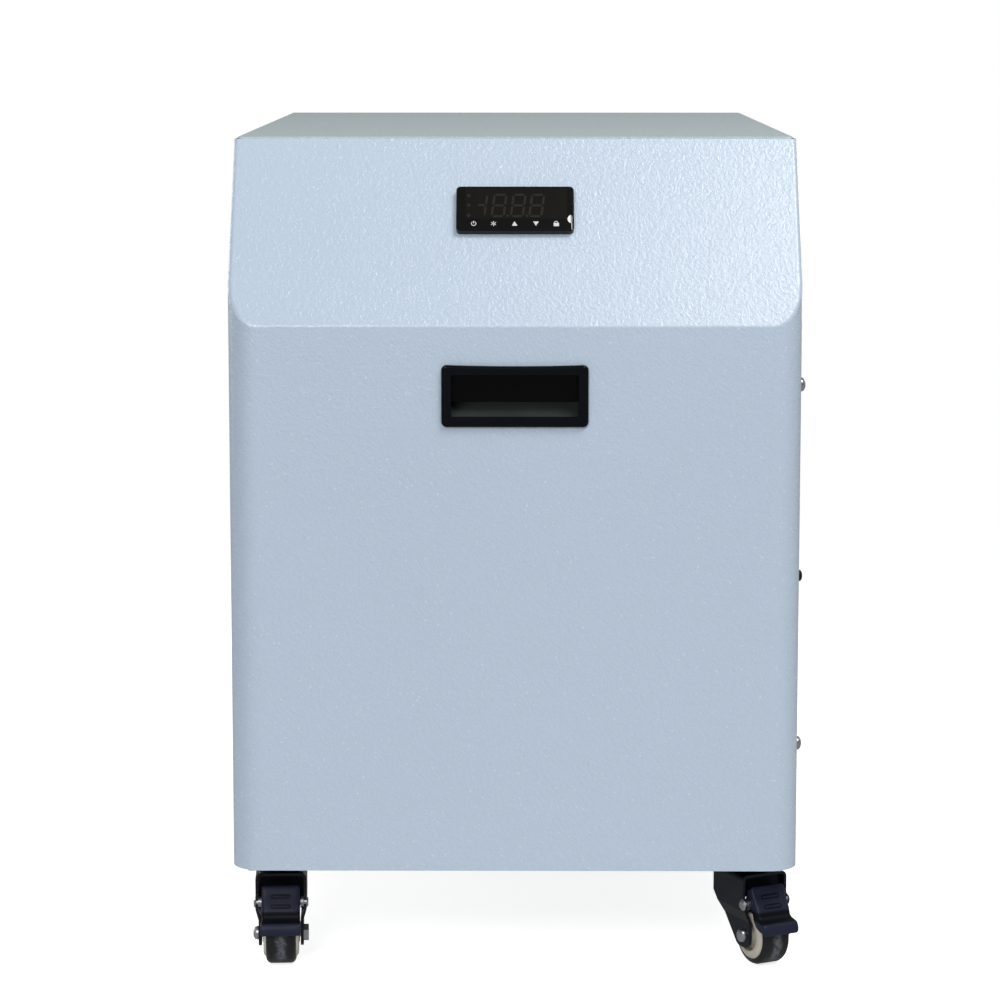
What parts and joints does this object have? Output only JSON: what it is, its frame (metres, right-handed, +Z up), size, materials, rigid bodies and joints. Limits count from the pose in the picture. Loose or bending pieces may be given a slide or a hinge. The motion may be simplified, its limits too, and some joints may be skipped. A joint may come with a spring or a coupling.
{
  "type": "portable ice bath water chiller",
  "caption": "Cabinet water chiller with slanted front, recessed pull, panel controller, rear fan and ports, on swivel casters.",
  "frame": {"origin": "on the floor, in the middle of the overall box", "axes": "+Z up, the slanted front with the controller faces -Y, +X to the right seen from the front"},
  "size_m": [0.3874, 0.631, 0.5595],
  "materials": {
    "powder_coat": "fine orange-peel powder coat, pale blue grey",
    "galvanised": "galvanised sheet",
    "zinc": "bright zinc plate",
    "black_screw": "black oxide",
    "black_abs": "satin moulded plastic",
    "controller_black": "fine-grained moulded plastic",
    "controller_window": "gloss tinted film",
    "motor_black": "semi-gloss black enamel",
    "fan_plastic": "moulded, matt",
    "grille_black": "black powder coat",
    "fin_aluminium": "mill finish fins",
    "copper": "drawn copper",
    "rubber": "moulded rubber",
    "terminal_plastic": "moulded, matt",
    "stainless": "brazed stainless plate",
    "foam": "closed-cell foam",
    "pump_plastic": "glass-filled plastic",
    "motor_grey": "grey enamel",
    "port_plastic": "glass-filled plastic",
    "hose_rubber": "extruded rubber",
    "caster_steel": "gloss black electrocoat",
    "tread": "polyurethane tread, a little dusty",
    "wheel_core": "pale grey moulded core",
    "pedal_black": "satin black moulding"
  },
  "bodies": {
    "cabinet": {"front_panel": "powder_coat", "left_side_panel": "powder_coat", "right_side_panel": "powder_coat", "rear_panel": "powder_coat", "top_cover": "powder_coat", "base_pan": "galvanised", "corner_posts": "galvanised", "fan_shroud": "galvanised", "coil_rails": "galvanised", "silver_panel_screws": "zinc", "caster_bolts": "zinc", "inlet_pins": "zinc", "black_panel_screws": "black_screw", "recess_handle": "black_abs", "controller_housing": "controller_black", "controller_clips": "controller_black", "controller_window": "controller_window", "fan_motor": "motor_black", "compressor": "motor_black", "fan_grille": "grille_black", "condenser_fins": "fin_aluminium", "condenser_tube": "copper", "discharge_tube": "copper", "liquid_tube": "copper", "capillary": "copper", "suction_tube": "copper", "filter_drier": "copper", "compressor_feet": "rubber", "terminal_cover": "terminal_plastic", "power_inlet": "terminal_plastic", "control_box": "terminal_plastic", "plate_exchanger": "stainless", "evaporator_jacket": "foam", "pump_head": "pump_plastic", "pump_motor": "motor_grey", "water_ports": "port_plastic", "port_nuts": "port_plastic", "inlet_hose": "hose_rubber", "feed_hose": "hose_rubber", "outlet_hose": "hose_rubber", "caster_plates": "caster_steel"},
    "fan": {"fan_rotor": "fan_plastic"},
    "front_left_swivel": {"front_left_fork": "caster_steel", "front_left_pins": "zinc"},
    "front_left_wheel": {"front_left_tyre": "tread", "front_left_wheel_core": "wheel_core"},
    "front_left_pedal": {"front_left_brake_pedal": "pedal_black"},
    "front_right_swivel": {"front_right_fork": "caster_steel", "front_right_pins": "zinc"},
    "front_right_wheel": {"front_right_tyre": "tread", "front_right_wheel_core": "wheel_core"},
    "front_right_pedal": {"front_right_brake_pedal": "pedal_black"},
    "rear_left_swivel": {"rear_left_fork": "caster_steel", "rear_left_pins": "zinc"},
    "rear_left_wheel": {"rear_left_tyre": "tread", "rear_left_wheel_core": "wheel_core"},
    "rear_right_swivel": {"rear_right_fork": "caster_steel", "rear_right_pins": "zinc"},
    "rear_right_wheel": {"rear_right_tyre": "tread", "rear_right_wheel_core": "wheel_core"}
  },
  "joints": [
    {"name": "fan_spin", "type": "hinge", "parent": "cabinet", "child": "fan", "pos_m": [-0.022, 0.2625, 0.234], "axis": [0, 1, 0], "continuous": true},
    {"name": "front_left_swivel_turn", "type": "hinge", "parent": "cabinet", "child": "front_left_swivel", "pos_m": [-0.16, -0.2655, 0.0615], "axis": [0, 0, 1], "continuous": true},
    {"name": "front_left_wheel_spin", "type": "hinge", "parent": "front_left_swivel", "child": "front_left_wheel", "pos_m": [-0.15898, -0.28497, 0.0205], "axis": [0.9986, 0.0523, 0], "continuous": true},
    {"name": "front_left_pedal_lift", "type": "hinge", "parent": "front_left_swivel", "child": "front_left_pedal", "pos_m": [-0.15885, -0.28747, 0.0425], "axis": [-0.9986, -0.0523, 0], "range_deg": [0, 14]},
    {"name": "front_right_swivel_turn", "type": "hinge", "parent": "cabinet", "child": "front_right_swivel", "pos_m": [0.16, -0.2655, 0.0615], "axis": [0, 0, 1], "continuous": true},
    {"name": "front_right_wheel_spin", "type": "hinge", "parent": "front_right_swivel", "child": "front_right_wheel", "pos_m": [0.16885, -0.28287, 0.0205], "axis": [0.891, 0.454, 0], "continuous": true},
    {"name": "front_right_pedal_lift", "type": "hinge", "parent": "front_right_swivel", "child": "front_right_pedal", "pos_m": [0.16999, -0.2851, 0.0425], "axis": [-0.891, -0.454, 0], "range_deg": [0, 14]},
    {"name": "rear_left_swivel_turn", "type": "hinge", "parent": "cabinet", "child": "rear_left_swivel", "pos_m": [-0.16, 0.2405, 0.0615], "axis": [0, 0, 1], "continuous": true},
    {"name": "rear_left_wheel_spin", "type": "hinge", "parent": "rear_left_swivel", "child": "rear_left_wheel", "pos_m": [-0.16537, 0.22176, 0.0205], "axis": [0.9613, -0.2756, 0], "continuous": true},
    {"name": "rear_right_swivel_turn", "type": "hinge", "parent": "cabinet", "child": "rear_right_swivel", "pos_m": [0.16, 0.2405, 0.0615], "axis": [0, 0, 1], "continuous": true},
    {"name": "rear_right_wheel_spin", "type": "hinge", "parent": "rear_right_swivel", "child": "rear_right_wheel", "pos_m": [0.16405, 0.22143, 0.0205], "axis": [0.9781, 0.2079, 0], "continuous": true}
  ]
}
